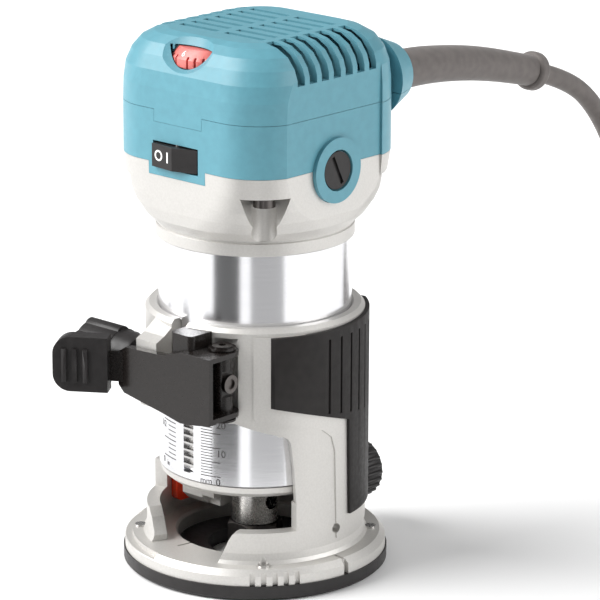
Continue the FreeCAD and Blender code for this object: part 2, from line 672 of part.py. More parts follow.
def brush_caps():
    pieces = []
    for side in (0, 180):
        cap = cyl_x(6.3, 35.45, 36.9, 0, BRUSH_Z).fuse(cyl_x(4.9, 34.7, 35.5, 0, BRUSH_Z))
        slot = block(36.1, 40, -5.2, 5.2, -0.7, 0.7)
        slot.rotate(Vector(0, 0, 0), Vector(1, 0, 0), -64)
        slot.translate(Vector(0, 0, BRUSH_Z))
        pieces.append(turned(cap.cut(slot).removeSplitter(), side))
    return group(pieces)


def stator_core():
    body = ring(24.0, 29.4, 70.0, 112.0)
    poles = []
    for side in (0, 180):
        pole = block(10.0, 25.0, -13.0, 13.0, 70.0, 112.0)
        pole = pole.fuse(arc_wall(16.8, 19.2, 70.0, 112.0, -58, 58))
        poles.append(turned(pole.common(cyl(25.0, 60, 120)).cut(cyl(16.8, 60, 120)), side))
    return joined([body] + poles)


def field_coils():
    pieces = []
    for side in (0, 180):
        coil = arc_wall(19.5, 23.7, 64.0, 118.0, -62, 62)
        coil = coil.cut(block(0, 40, -13.3, 13.3, 69.6, 112.4))
        pieces.append(turned(coil, side))
    return group(pieces)


def fan_baffle():
    return revolved(((22.0, 61.0), (29.4, 61.0), (29.4, 66.0), (28.0, 66.0), (28.0, 62.6), (22.0, 62.6)))


def bearing_outers():
    pieces = []
    for z0, z1, inner, outer in BEARINGS:
        pitch = (inner + outer) / 2
        pieces.append(ring(pitch + 1.0, outer, z0, z1).cut(torus(pitch, 1.75, (z0 + z1) / 2)))
    return group(pieces)


def bearing_inners():
    pieces = []
    for z0, z1, inner, outer in BEARINGS:
        pitch = (inner + outer) / 2
        pieces.append(ring(inner + 0.01, pitch - 1.0, z0, z1).cut(torus(pitch, 1.65, (z0 + z1) / 2)))
    return group(pieces)


def torus(major, minor, z):
    return Part.makeTorus(major, minor, Vector(0, 0, z))


def bearing_balls():
    pieces = []
    for z0, z1, inner, outer in BEARINGS:
        pitch = (inner + outer) / 2
        for index in range(8):
            angle = math.radians(45 * index)
            spot = Vector(pitch * math.cos(angle), pitch * math.sin(angle), (z0 + z1) / 2)
            pieces.append(Part.makeSphere(1.6, spot))
    return group(pieces)


def bearing_bridge():
    """Moulded bridge across the head that holds the upper bearing."""
    cup = ring(11.02, 14.0, 150.6, 160.4)
    arms = []
    for x, y in CORNER_SCREWS:
        length = math.hypot(x, y) - 6.0
        arm = block(12.5, length, -2.2, 2.2, 152.0, 158.6)
        arms.append(turned(arm, math.degrees(math.atan2(y, x))))
    return joined([cup] + arms).cut(cyl(11.02, 149, 162))


def switch_body():
    return block(SWITCH_X - 9.6, SWITCH_X + 9.6, -31.0, -20.0, SWITCH_Z - 6.0, SWITCH_Z + 6.6)


def speed_board():
    board = block(-16.0, 20.0, -31.0, -12.6, 167.0, 168.6)
    choke = block(-12.0, -3.0, -28.0, -20.0, 168.6, 173.6)
    capacitor = block(5.0, 17.0, -28.0, -22.0, 168.6, 172.6)
    return joined([board, choke, capacitor])


def cord_clamp():
    bar = block(10.5, 22.5, 30.4, 34.1, 150.6, 156.0)
    return bar.cut(cyl_y(CORD_R + 0.2, 20, 40, 17.0, 157.6))


def cord_guard():
    """Tapered rubber sleeve on a gentle arc, with a collar ring at its far end."""
    sections = []
    stations = (
        (39.5, 164.9, 6.8, 0.0), (46.0, 164.9, 6.8, 0.0), (52.0, 164.9, 6.75, -1.0), (68.0, 163.9, 6.4, -6.0),
        (84.0, 161.7, 6.1, -10.0), (104.0, 157.4, 5.7, -14.0), (118.6, 153.6, 5.5, EXIT_SLOPE),
    )
    for y, z, radius, slope in stations:
        angle = math.radians(slope)
        normal = Vector(0, math.cos(angle), math.sin(angle))
        sections.append(Part.Wire(Part.Circle(Vector(20, y, z), normal, radius).toShape()))
    sleeve = Part.makeLoft(sections, True, False)
    angle = math.radians(EXIT_SLOPE)
    heading = Vector(0, math.cos(angle), math.sin(angle))
    end_ring = Part.makeCylinder(6.9, 4.7, Vector(*CORD_ROUTE[0]) - heading * 4.7, heading)
    end_ring = end_ring.makeFillet(1.4, [edge for edge in end_ring.Edges if edge.Closed])
    return sleeve.fuse(end_ring).removeSplitter()


# ---------------------------------------------------------------- switch rocker and dial

def switch_rocker():
    half = 9.4
    outline = (
        (SWITCH_X - half, -37.4), (SWITCH_X + 0.6, -38.4), (SWITCH_X + half, -35.6),
        (SWITCH_X + half, -34.4), (SWITCH_X + 3.0, -33.6), (SWITCH_X - 3.0, -33.6),
        (SWITCH_X - half, -34.4),
    )
    body = prism([(x, y, SWITCH_Z - 3.9) for x, y in outline], (0, 0, 7.8))
    return body.cut(cyl(SWITCH_PIN_R + 0.06, 140, 152, SWITCH_X, SWITCH_PIN_Y))


def switch_pin():
    return cyl(SWITCH_PIN_R, SWITCH_Z - 5.4, SWITCH_Z + 5.5, SWITCH_X, SWITCH_PIN_Y)


def speed_dial():
    """Thumb wheel with a sloping numbered rim, cut by wedge grooves."""
    profile = ((3.0, 175.2), (DIAL_R - 0.3, 175.2), (DIAL_R, 175.6), (DIAL_R, 178.2), (DIAL_R - 2.6, 181.4),
               (3.0, 181.4))
    wheel = revolved(profile)
    wheel.translate(Vector(DIAL_X, DIAL_Y, 0))
    for index in range(30):
        if index % 5 == 0:
            continue
        groove = block(DIAL_R - 1.5, DIAL_R + 2, -0.42, 0.42, 174, 179.2)
        groove = turned(groove, 12 * index + 262)
        groove.translate(Vector(DIAL_X, DIAL_Y, 0))
        wheel = wheel.cut(groove)
    return wheel


def dial_post():
    return cyl(2.94, 168.65, 180.8, DIAL_X, DIAL_Y)


# ---------------------------------------------------------------- spindle group

def spindle():
    profile = (
        (5.05, 6.9), (6.5, 6.9), (6.5, 13.3), (NOSE_R, 13.3), (NOSE_R, 34.2), (6.0, 34.2), (6.0, 46.0),
        (5.0, 46.0), (5.0, 151.0), (4.0, 151.0), (4.0, 160.0), (0.0, 160.0), (0.0, 20.0), (5.05, 20.0),
    )
    body = revolved(profile)
    return body.cut(cyl_x(LOCK_R + 0.35, -10, 10, 0, LOCK_Z))


def collet_cone():
    body = cyl(5.0, 5.7, 18.6).cut(cyl(COLLET_BORE_R, 3, 19))
    for angle in (30, 150, 270):
        slit = block(2, 7, -0.5, 0.5, 3, 16.0)
        body = body.cut(turned(slit, angle))
    return body


def collet_nut():
    body = hexagon(17.0, NUT_BOTTOM, NUT_TOP).common(
        cone(8.6, 9.9, NUT_BOTTOM, NUT_BOTTOM + 1.3).fuse(cyl(9.9, NUT_BOTTOM + 1.3, NUT_TOP - 1.2)).fuse(
            cone(9.9, 8.7, NUT_TOP - 1.2, NUT_TOP)))
    body = body.cut(cyl(6.56, 6.7, NUT_TOP + 1)).cut(cyl(5.1, 3, 7))
    return body.removeSplitter()


def armature_core():
    core = cyl(16.2, 71.0, 111.0).cut(cyl(5.01, 60, 120))
    for index in range(12):
        slot = block(9.0, 17.0, -1.0, 1.0, 70, 112)
        core = core.cut(turned(slot, 30 * index))
    return core


def armature_windings():
    pieces = []
    for z0, z1 in ((63.5, 70.9), (111.1, 121.0)):
        pieces.append(revolved(((6.0, z0), (12.5, z0), (14.6, z0 + 2.5), (14.6, z1 - 2.0), (12.5, z1),
                                (6.0, z1))))
    return group(pieces)


def commutator():
    body = ring(5.01, 10.0, 135.5, 149.0)
    riser = ring(5.01, 11.2, 133.5, 135.5)
    body = body.fuse(riser)
    for index in range(24):
        slit = block(9.2, 12.0, -0.15, 0.15, 133, 150)
        body = body.cut(turned(slit, 15 * index + 7.5))
    return body.removeSplitter()


def fan():
    hub = ring(5.01, 9.0, 48.0, 60.0)
    disc = ring(8.5, 27.0, 48.0, 49.6)
    blades = []
    for index in range(11):
        blade = block(8.6, 26.6, -0.7, 0.7, 49.0, 59.0)
        blades.append(turned(blade, 360.0 / 11 * index))
    return joined([hub, disc] + blades)


# ---------------------------------------------------------------- cord

def cord_path(route):
    """Straight runs joined by tangent arcs. Returns the wire, its length and the bend radii."""
    points = [Vector(*p) for p in route]
    edges, radii = [], []
    start = points[0]
    for before, corner, after in zip(points, points[1:], points[2:]):
        back, ahead = before - corner, after - corner
        reach = 0.45 * min(back.Length, ahead.Length)
        back.normalize()
        ahead.normalize()
        turn = math.pi - math.acos(max(-1.0, min(1.0, back.dot(ahead))))
        radius = reach / math.tan(turn / 2)
        radii.append(radius)
        a, b = corner + back * reach, corner + ahead * reach
        inward = back + ahead
        inward.normalize()
        middle = corner + inward * (radius / math.cos(turn / 2) - radius)
        edges.append(Part.LineSegment(start, a).toShape())
        edges.append(Part.Arc(a, middle, b).toShape())
        start = b
    edges.append(Part.LineSegment(start, points[-1]).toShape())
    return Part.Wire(edges), radii


def cord_tube(route, name):
    wire, radii = cord_path(route)
    heading = Vector(*route[1]) - Vector(*route[0])
    circle = Part.Circle(Vector(*route[0]), heading, CORD_R)
    tube = wire.makePipeShell([Part.Wire(circle.toShape())], True, False)
    ideal = math.pi * CORD_R ** 2 * wire.Length
    print(name, "length", round(wire.Length, 1), "volume ratio", round(tube.Volume / ideal, 4))
    print("  bend radii", [round(radius, 1) for radius in radii])
    return tube


def cord_coil():
    x, y = COIL_CENTRE
    inner = COIL_INNER_TURN - CORD_R - 0.1
    outer = COIL_OUTER_TURN + CORD_R + 0.1
    body = cyl(outer, COIL_Z[0], COIL_Z[1], x, y).cut(cyl(inner, -1, 30, x, y))
    return body.makeFillet(3.0, [edge for edge in body.Edges if edge.Closed])


def cord_tie():
    x, y = COIL_CENTRE
    inner = COIL_INNER_TURN - CORD_R - 0.15
    outer = COIL_OUTER_TURN + CORD_R + 0.15
    body = arc_wall(inner - TIE, outer + TIE, 0.0, COIL_Z[1] + TIE, *TIE_ANGLES)
    body = body.cut(ring(inner, outer, COIL_Z[0] - 0.02, COIL_Z[1] + 0.02))
    body.translate(Vector(x, y, 0))
    return body


def placed_plug(shape):
    """Moves a shape drawn along -Y from the origin to where the plug lies."""
    copy = shape.copy()
    copy.rotate(Vector(0, 0, 0), Vector(0, 0, 1), 180.0)
    copy.translate(Vector(*LEAD_ROUTE[-1]))
    return copy


def plug_body():
    boot = Part.makeCone(4.6, 7.4, 13.0, Vector(0, 0, 0), Vector(0, -1, 0))
    grip = block(-13.5, 13.5, -36.0, -12.0, -8.2, 8.2)
    edges = [edge for edge in grip.Edges if abs(edge.tangentAt(edge.FirstParameter).y) > 0.9]
    grip = grip.makeFillet(6.0, edges)
    body = boot.fuse(grip).removeSplitter()
    for side in (-9.5, 9.5):
        body = body.cut(cyl_y(2.41, -40, -30, side, 0))
    return placed_plug(body)


def plug_pins():
    pins = []
    for side in (-9.5, 9.5):
        pin = cyl_y(2.4, -54.0, -30.0, side, 0)
        tip = Part.makeCone(2.4, 1.5, 1.0, Vector(side, -54.0, 0), Vector(0, -1, 0))
        pins.append(pin.fuse(tip).removeSplitter())
    return placed_plug(group(pins))


def plug_lead():
    return cord_tube(LEAD_ROUTE, "plug_lead")


os.makedirs("parts", exist_ok=True)

NODES = {
    "base_casting": base_casting, "sub_base_plate": sub_base_plate, "sub_base_screws": sub_base_screws,
    "clamp_block": clamp_block, "grip_right": grip_right, "grip_left": grip_left,
    "lever_trunnion": trunnion, "trunnion_clips": trunnion_clips,
    "lever_plate": lever_plate, "lever_pad": lever_pad,
    "adjuster_shaft": adjuster_shaft, "adjuster_knob": adjuster_knob,
    "adjuster_washer": adjuster_washer, "adjuster_pinion": pinion, "adjuster_cap": adjuster_cap,
    "thumbscrew_knob": thumbscrew_knob, "thumbscrew_stud": thumbscrew_stud,
    "barrel": barrel, "depth_rack": depth_rack, "nose_cap": nose_cap, "lock_guide": lock_guide,
    "lock_button": lock_button, "lock_pin": lock_pin, "lock_spring": lock_spring,
    "motor_housing": motor_housing, "lower_cover": lower_cover, "top_cover": top_cover,
    "housing_screws": housing_screws, "brush_holders": brush_holders, "brushes": brushes,
    "brush_springs": brush_springs, "brush_caps": brush_caps, "stator_core": stator_core,
    "field_coils": field_coils, "fan_baffle": fan_baffle, "bearing_outer_rings": bearing_outers,
    "bearing_inner_rings": bearing_inners, "bearing_balls": bearing_balls,
    "bearing_bridge": bearing_bridge, "switch_body": switch_body,
    "switch_rocker": switch_rocker, "switch_pin": switch_pin,
    "speed_board": speed_board, "speed_dial": speed_dial, "dial_post": dial_post,
    "cord_clamp": cord_clamp, "cord_guard": cord_guard, "spindle": spindle,
    "collet_cone": collet_cone, "collet_nut": collet_nut, "armature_core": armature_core,
    "armature_windings": armature_windings, "commutator": commutator, "fan": fan,
    "cord_coil": cord_coil, "cord_tie": cord_tie, "plug_body": plug_body, "plug_pins": plug_pins,
    "plug_lead": plug_lead,
}

for node_name, make in NODES.items():
    save(node_name, make())
save("power_cord", cord_tube(CORD_ROUTE, "power_cord"))
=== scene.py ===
import math

import bpy
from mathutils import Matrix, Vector

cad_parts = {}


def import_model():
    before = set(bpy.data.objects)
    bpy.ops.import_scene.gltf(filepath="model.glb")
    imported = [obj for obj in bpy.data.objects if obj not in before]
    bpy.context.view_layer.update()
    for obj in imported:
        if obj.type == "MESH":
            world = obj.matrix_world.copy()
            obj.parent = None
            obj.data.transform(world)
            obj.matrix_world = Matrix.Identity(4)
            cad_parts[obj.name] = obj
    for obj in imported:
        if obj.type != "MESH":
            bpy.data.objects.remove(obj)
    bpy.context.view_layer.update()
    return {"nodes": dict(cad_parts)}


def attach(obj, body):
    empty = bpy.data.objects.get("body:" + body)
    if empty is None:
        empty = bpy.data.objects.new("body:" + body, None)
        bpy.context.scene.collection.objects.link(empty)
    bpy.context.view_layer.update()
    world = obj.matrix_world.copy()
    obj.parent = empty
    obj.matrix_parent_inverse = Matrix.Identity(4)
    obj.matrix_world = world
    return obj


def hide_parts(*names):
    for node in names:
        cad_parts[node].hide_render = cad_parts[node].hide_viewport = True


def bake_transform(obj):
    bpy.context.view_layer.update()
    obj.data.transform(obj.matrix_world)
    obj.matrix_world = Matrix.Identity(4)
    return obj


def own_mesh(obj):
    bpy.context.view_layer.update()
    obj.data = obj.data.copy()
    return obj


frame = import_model()

MM = 0.001
NODES = frame["nodes"]

# Camera: a long lens at the front right, a little above the router
CAMERA_AZIMUTH = 43.237
CAMERA_ELEVATION = 15.812
CAMERA_DISTANCE = 1.1913
CAMERA_LENS = 212.96
CAMERA_SHIFT = (0.0747, -0.0445)
CAMERA_TARGET = Vector((0, 0, 0.1))

# Places that the CAD model fixes
BARREL_R = 32.5 * MM
SCALE_ZERO_Z = 38.1 * MM
LETTER_LIFT = 0.04 * MM
SPRING_START = -21.9 * MM
SPRING_END = -14.9 * MM
SPRING_R = 3.3 * MM
SPRING_WIRE_R = 0.32 * MM
SPRING_Z = 21.0 * MM
SPRING_TURNS = 5
SPRING_STEPS = 120
WIRE_SIDES = 8

# Scale marks on the barrel, in degrees from the front: where marks start, and where short and long ones end
MILLIMETRE_MARKS = (9.4, 17.2, 22.5)
INCH_MARKS = (-11.7, -20.0, -26.0)
INCH_ZERO_RISE = 2.2 * MM

DIAL_CENTRE = Vector((-0.0006, -0.0184, 0.1798))
DIAL_MARK_R = 0.0129
DIAL_FIRST = 262.0

# Cord: the route is part.py's, in metres
CORD_DIAMETER = 0.007
CORD_ROUTE = (
    (0.020, 0.123, 0.1523), (0.020, 0.142, 0.1465), (0.021, 0.1575, 0.1335), (0.024, 0.167, 0.114),
    (0.028, 0.172, 0.086), (0.032, 0.174, 0.058), (0.0365, 0.1775, 0.036), (0.043, 0.1865, 0.019),
    (0.050, 0.2005, 0.0086), (0.0553, 0.217, 0.0046), (0.0586, 0.2346, 0.0045),
)
LEAD_ROUTE = (
    (-0.013, 0.2269, 0.0188), (0.0023, 0.2213, 0.0188), (0.0186, 0.2219, 0.0188), (0.0335, 0.2285, 0.019),
    (0.0449, 0.2403, 0.0208), (0.051, 0.2554, 0.0235), (0.051, 0.2716, 0.0235),
)
COIL_CENTRE = (0.012, 0.271)
COIL_OUTER = 0.0518
COIL_STEP = 0.0072
COIL_LOW = 0.0045
COIL_LIFT = 0.00715

# Coil, in degrees travelled round it: where turns step inwards, outwards and up
COIL_START_ANGLE = -12.0
COIL_TRAVEL = 2760
COIL_SAMPLE = 15
FIRST_STEP_IN = (300, 340)
FIRST_STEP_OUT = (1630, 1670)
CLIMB_TO_TOP = (1300, 1385)
CLIMB_TO_PLUG = (2665, 2735)


# ---------------------------------------------------------------- materials

def principled(material):
    return material.node_tree.nodes["Principled BSDF"]


def shader(name, colour, metallic, roughness, coat=0.0, specular=0.5):
    material = bpy.data.materials.new(name)
    material.use_nodes = True
    sockets = principled(material).inputs
    sockets["Base Color"].default_value = (*colour, 1)
    sockets["Metallic"].default_value = metallic
    sockets["Roughness"].default_value = roughness
    sockets["Coat Weight"].default_value = coat
    sockets["Specular IOR Level"].default_value = specular
    return material


def add_node(material, kind, **settings):
    node = material.node_tree.nodes.new(kind)
    for key, value in settings.items():
        if key in node.inputs:
            node.inputs[key].default_value = value
        else:
            setattr(node, key, value)
    return node


def link(material, source, socket, target, to):
    material.node_tree.links.new(source.outputs[socket], target.inputs[to])


def place(material, stretch=(1, 1, 1)):
    """Coordinates fixed to the piece, in metres, stretched along the axes."""
    coordinates = add_node(material, "ShaderNodeTexCoord")
    mapping = add_node(material, "ShaderNodeMapping")
    mapping.inputs["Scale"].default_value = stretch
    link(material, coordinates, "Object", mapping, "Vector")
    return mapping


def noise(material, scale, detail=3.0, stretch=(1, 1, 1)):
    texture = add_node(material, "ShaderNodeTexNoise", Scale=scale, Detail=detail)
    link(material, place(material, stretch), "Vector", texture, "Vector")
    return texture


def vary_colour(material, dark, light, scale, detail=3.0, stretch=(1, 1, 1)):
    """Two close colours mixed in soft patches."""
    ramp = add_node(material, "ShaderNodeValToRGB")
    ramp.color_ramp.elements[0].position = 0.35
    ramp.color_ramp.elements[0].color = (*dark, 1)
    ramp.color_ramp.elements[1].position = 0.65
    ramp.color_ramp.elements[1].color = (*light, 1)
    link(material, noise(material, scale, detail, stretch), "Fac", ramp, "Fac")
    link(material, ramp, "Color", principled(material), "Base Color")


def vary_roughness(material, low, high, scale, detail=3.0, stretch=(1, 1, 1)):
    spread = add_node(material, "ShaderNodeMapRange")
    spread.inputs["From Min"].default_value = 0.3
    spread.inputs["From Max"].default_value = 0.7
    spread.inputs["To Min"].default_value = low
    spread.inputs["To Max"].default_value = high
    link(material, noise(material, scale, detail, stretch), "Fac", spread, "Value")
    link(material, spread, "Result", principled(material), "Roughness")


def roughen(material, scale, depth, strength=1.0, detail=3.0, stretch=(1, 1, 1)):
    """Fine relief: depth is the height of the grain in metres."""
    bump = add_node(material, "ShaderNodeBump", Strength=strength, Distance=depth)
    link(material, noise(material, scale, detail, stretch), "Fac", bump, "Height")
    link(material, bump, "Normal", principled(material), "Normal")


def cast_aluminium():
    material = shader("cast_aluminium", (0.60, 0.585, 0.56), 0.55, 0.44)
    vary_colour(material, (0.595, 0.58, 0.555), (0.63, 0.615, 0.59), 1500, 3.0)
    vary_roughness(material, 0.40, 0.48, 2600)
    roughen(material, 2600, 0.00005, 0.7, 3.0)
    return material


def turned_aluminium():
    material = shader("turned_aluminium", (0.80, 0.80, 0.815), 1.0, 0.25)
    principled(material).inputs["Anisotropic"].default_value = 0.6
    principled(material).inputs["Anisotropic Rotation"].default_value = 0.25
    vary_colour(material, (0.78, 0.78, 0.80), (0.83, 0.83, 0.85), 60, 4.0, (1, 1, 45))
    vary_roughness(material, 0.17, 0.23, 90, 4.0, (1, 1, 60))
    roughen(material, 120, 0.000008, 0.6, 3.0, (1, 1, 60))
    return material


def steel(name="ground_steel", colour=(0.56, 0.55, 0.54), roughness=0.27):
    material = shader(name, colour, 1.0, roughness)
    vary_colour(material, [c * 0.95 for c in colour], [c * 1.04 for c in colour], 900, 3.0)
    vary_roughness(material, roughness * 0.92, roughness * 1.10, 1600, 3.0)
    roughen(material, 2400, 0.000006, 0.4)
    return material


def gloss_black():
    material = shader("gloss_black_enamel", (0.012, 0.010, 0.009), 0.0, 0.25, coat=0.12, specular=0.30)
    principled(material).inputs["Coat Roughness"].default_value = 0.10
    vary_colour(material, (0.010, 0.008, 0.007), (0.015, 0.012, 0.011), 900, 3.0)
    vary_roughness(material, 0.23, 0.28, 1200, 3.0)
    roughen(material, 900, 0.00001, 0.3, 3.0)
    return material


def moulded(name, colour, roughness, grain=2600, depth=0.00003, change=0.08, specular=0.5):
    material = shader(name, colour, 0.0, roughness, specular=specular)
    vary_colour(material, [c * (1 - change) for c in colour], [c * (1 + change) for c in colour], 350, 5.0)
    vary_roughness(material, roughness * 0.88, roughness * 1.12, 700)
    roughen(material, grain, depth, 0.7)
    return material


def cord_rubber():
    material = moulded("cord_rubber", (0.130, 0.115, 0.108), 0.62, 1500, 0.00005, 0.12, 0.35)
    principled(material).inputs["Sheen Weight"].default_value = 0.15
    return material


def laminations():
    material = shader("laminations", (0.32, 0.31, 0.31), 1.0, 0.4)
    wave = add_node(material, "ShaderNodeTexWave", bands_direction="Z", Scale=320.0, Distortion=0.4)
    link(material, place(material), "Vector", wave, "Vector")
    bump = add_node(material, "ShaderNodeBump", Strength=0.6, Distance=0.0001)
    link(material, wave, "Fac", bump, "Height")
    link(material, bump, "Normal", principled(material), "Normal")
    vary_colour(material, (0.26, 0.25, 0.25), (0.38, 0.37, 0.36), 200)
    return material


def enamelled_copper():
    material = shader("enamelled_copper", (0.70, 0.30, 0.13), 1.0, 0.3, coat=0.4)
    wave = add_node(material, "ShaderNodeTexWave", bands_direction="DIAGONAL", Scale=260.0, Distortion=2.0)
    link(material, place(material), "Vector", wave, "Vector")
    bump = add_node(material, "ShaderNodeBump", Strength=0.8, Distance=0.0003)
    link(material, wave, "Fac", bump, "Height")
    link(material, bump, "Normal", principled(material), "Normal")
    vary_colour(material, (0.60, 0.24, 0.10), (0.78, 0.36, 0.17), 180)
    return material


TEAL = (0.108, 0.305, 0.375)
BLACK_RUBBER = (0.016, 0.014, 0.0135)

SKINS = {
    "cast_aluminium": cast_aluminium(),
    "turned_aluminium": turned_aluminium(),
    "steel": steel(),
    "black_steel": gloss_black(),
    "rubber_grip": moulded("grip_rubber", BLACK_RUBBER, 0.55, 2200, 0.00005, 0.14, 0.28),
    "black_plastic": moulded("black_plastic", (0.019, 0.017, 0.017), 0.42, 2400, 0.00003, 0.12, 0.35),
    "teal_plastic": moulded("teal_plastic", TEAL, 0.40, 3000, 0.00003, 0.035, 0.45),
    "red_plastic": moulded("red_plastic", (0.80, 0.055, 0.018), 0.25, 1200, 0.00001, 0.05),
    "salmon_plastic": moulded("salmon_plastic", (0.72, 0.175, 0.155), 0.38, 1800, 0.00002, 0.05),
    "cord_rubber": cord_rubber(),
    "copper": enamelled_copper(),
    "brass": steel("drawn_brass", (0.78, 0.56, 0.26), 0.24),
    "carbon": moulded("pressed_carbon", (0.05, 0.05, 0.052), 0.6, 900, 0.00006, 0.2),
    "lamination": laminations(),
    "fan_plastic": moulded("fan_plastic", (0.62, 0.59, 0.52), 0.45),
    "nylon_tie": moulded("nylon_tie", (0.03, 0.03, 0.03), 0.4),
    "dark_steel": steel("blued_steel", (0.13, 0.12, 0.115), 0.34),
}

NODE_SKINS = {
    "cast_aluminium": ("base_casting", "motor_housing", "nose_cap", "lock_guide"),
    "turned_aluminium": ("barrel",),
    "steel": (
        "depth_rack", "sub_base_screws", "spindle", "collet_cone", "bearing_outer_rings",
        "bearing_inner_rings", "bearing_balls", "adjuster_shaft", "thumbscrew_stud", "switch_pin",
        "lock_spring", "brush_springs", "lock_pin", "adjuster_pinion",
    ),
    "black_steel": ("clamp_block", "lever_plate", "lever_trunnion", "trunnion_clips"),
    "dark_steel": ("adjuster_cap", "housing_screws", "collet_nut"),
    "rubber_grip": ("grip_right", "grip_left"),
    "black_plastic": (
        "sub_base_plate", "lever_pad", "adjuster_knob", "adjuster_washer", "thumbscrew_knob",
        "brush_caps", "switch_rocker", "switch_body", "bearing_bridge", "fan_baffle", "cord_clamp",
        "dial_post", "plug_body", "speed_board",
    ),
    "teal_plastic": ("top_cover", "lower_cover"),
    "red_plastic": ("lock_button",),
    "salmon_plastic": ("speed_dial",),
    "cord_rubber": ("cord_guard", "power_cord", "cord_coil", "plug_lead"),
    "copper": ("field_coils", "armature_windings"),
    "brass": ("plug_pins", "brush_holders", "commutator"),
    "carbon": ("brushes",),
    "lamination": ("stator_core", "armature_core"),
    "fan_plastic": ("fan",),
    "nylon_tie": ("cord_tie",),
}


# Widths of the eased edges, in millimetres
EASED = {
    "lever_plate": 0.8, "lever_pad": 1.0, "clamp_block": 0.6, "grip_right": 0.3, "grip_left": 0.3,
    "lock_button": 0.4, "thumbscrew_knob": 0.3, "adjuster_knob": 0.25, "switch_rocker": 0.3,
    "brush_caps": 0.25, "plug_body": 0.5, "speed_dial": 0.2,
}


def placed(name, data):
    """A new object with this data, in the scene."""
    made = bpy.data.objects.new(name, data)
    bpy.context.scene.collection.objects.link(made)
    return made


def mesh_from(name, corners, faces):
    mesh = bpy.data.meshes.new(name)
    mesh.from_pydata(corners, [], faces)
    mesh.update()
    return placed(name, mesh)


def dress(piece, skin):
    piece.data.materials.clear()
    piece.data.materials.append(SKINS[skin])


def dress_frame():
    for skin, names in NODE_SKINS.items():
        for name in names:
            dress(NODES[name], skin)


# ---------------------------------------------------------------- helpers for pieces

def piece_from(name, corners, faces, skin, body, smooth=False):
    piece = mesh_from(name, corners, faces)
    if smooth:
        piece.data.shade_smooth()
    dress(piece, skin)
    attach(piece, body)
    return piece


def ease_edges(name, width, segments=2, angle=30):
    """Rounds a CAD node's sharp edges in the render, with its mesh left as it is."""
    node = NODES[name]
    weld = node.modifiers.new("weld", "WELD")
    weld.merge_threshold = 0.000002
    bevel = node.modifiers.new("bevel", "BEVEL")
    bevel.width = width
    bevel.segments = segments
    bevel.limit_method = "ANGLE"
    bevel.angle_limit = math.radians(angle)
    bevel.harden_normals = True


def ease_all():
    for name, width in EASED.items():
        ease_edges(name, width * MM)


# ---------------------------------------------------------------- cord

def ramp(value, start, end):
    share = min(1.0, max(0.0, (value - start) / (end - start)))
    return share * share * (3 - 2 * share)


def coil_points():
    """Two layers of turns, anticlockwise from above: inwards below, outwards on top, then up onto them."""
    points = []
    for travelled in range(0, COIL_TRAVEL + 1, COIL_SAMPLE):
        inward = sum(ramp(travelled - 360 * k, *FIRST_STEP_IN) for k in range(3))
        outward = sum(ramp(travelled - 360 * k, *FIRST_STEP_OUT) for k in range(3))
        radius = COIL_OUTER - COIL_STEP * (inward - outward)
        height = COIL_LOW + COIL_LIFT * (ramp(travelled, *CLIMB_TO_TOP) + ramp(travelled, *CLIMB_TO_PLUG))
        angle = math.radians(COIL_START_ANGLE + travelled)
        x = COIL_CENTRE[0] + radius * math.cos(angle)
        y = COIL_CENTRE[1] + radius * math.sin(angle)
        points.append((x, y, height))
    return points


def cord_line():
    """The cord's centreline, one smooth spline from the guard to the plug."""
    curve = bpy.data.curves.new("cord_line", "CURVE")
    curve.dimensions = "3D"
    curve.resolution_u = 8
    points = [*CORD_ROUTE, *coil_points(), *LEAD_ROUTE]
    spline = curve.splines.new("NURBS")
    spline.points.add(len(points) - 1)
    for spot, point in zip(spline.points, points):
        spot.co = (*point, 1)
    spline.order_u = 3
    spline.use_endpoint_u = True
    line = placed("cord_line", curve)
    bpy.context.view_layer.update()
    mesh = bpy.data.meshes.new_from_object(line)
    path = [vertex.co.copy() for vertex in mesh.vertices]
    return line, path


def cord():
    line, path = cord_line()
    line.data.bevel_depth = CORD_DIAMETER / 2
    line.data.bevel_resolution = 5
    line.data.use_fill_caps = True
    bpy.context.view_layer.update()
    tube = bpy.data.meshes.new_from_object(line)
    bpy.data.objects.remove(line)
    piece = placed("flex", tube)
    tube.shade_smooth()
    dress(piece, "cord_rubber")
    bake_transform(piece)
    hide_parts("power_cord", "cord_coil", "plug_lead")



# ---------------------------------------------------------------- spindle lock spring

def spring_rings():
    """Corners of a wound wire along X: one ring of the wire's section at each step."""
    corners = []
    for k in range(SPRING_STEPS + 1):
        turn = 2 * math.pi * SPRING_TURNS * k / SPRING_STEPS
        x = SPRING_START + (SPRING_END - SPRING_START) * k / SPRING_STEPS
        for j in range(WIRE_SIDES):
            around_wire = 2 * math.pi * j / WIRE_SIDES
            radius = SPRING_R + SPRING_WIRE_R * math.cos(around_wire)
            corners.append((x + SPRING_WIRE_R * math.sin(around_wire), radius * math.cos(turn),
                            SPRING_Z + radius * math.sin(turn)))
    return corners


def lock_spring():
    faces = []
    for k in range(SPRING_STEPS):
        for j in range(WIRE_SIDES):
            a = WIRE_SIDES * k + j
            b = WIRE_SIDES * k + (j + 1) % WIRE_SIDES
            faces.append((a, a + WIRE_SIDES, b + WIRE_SIDES, b))
    last = WIRE_SIDES * SPRING_STEPS
    faces.append(tuple(range(WIRE_SIDES)))
    faces.append(tuple(range(last + WIRE_SIDES - 1, last - 1, -1)))
    piece = piece_from("lock_spring_coil", spring_rings(), faces, "steel", "motor", smooth=True)
    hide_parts("lock_spring")
    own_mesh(piece)


# ---------------------------------------------------------------- depth scale

def on_barrel(angle, z, lift=0.00003):
    """A point on the barrel. The angle is from the front, positive towards +X."""
    turn = math.radians(angle - 90)
    radius = BARREL_R + lift
    return (radius * math.cos(turn), radius * math.sin(turn), z)


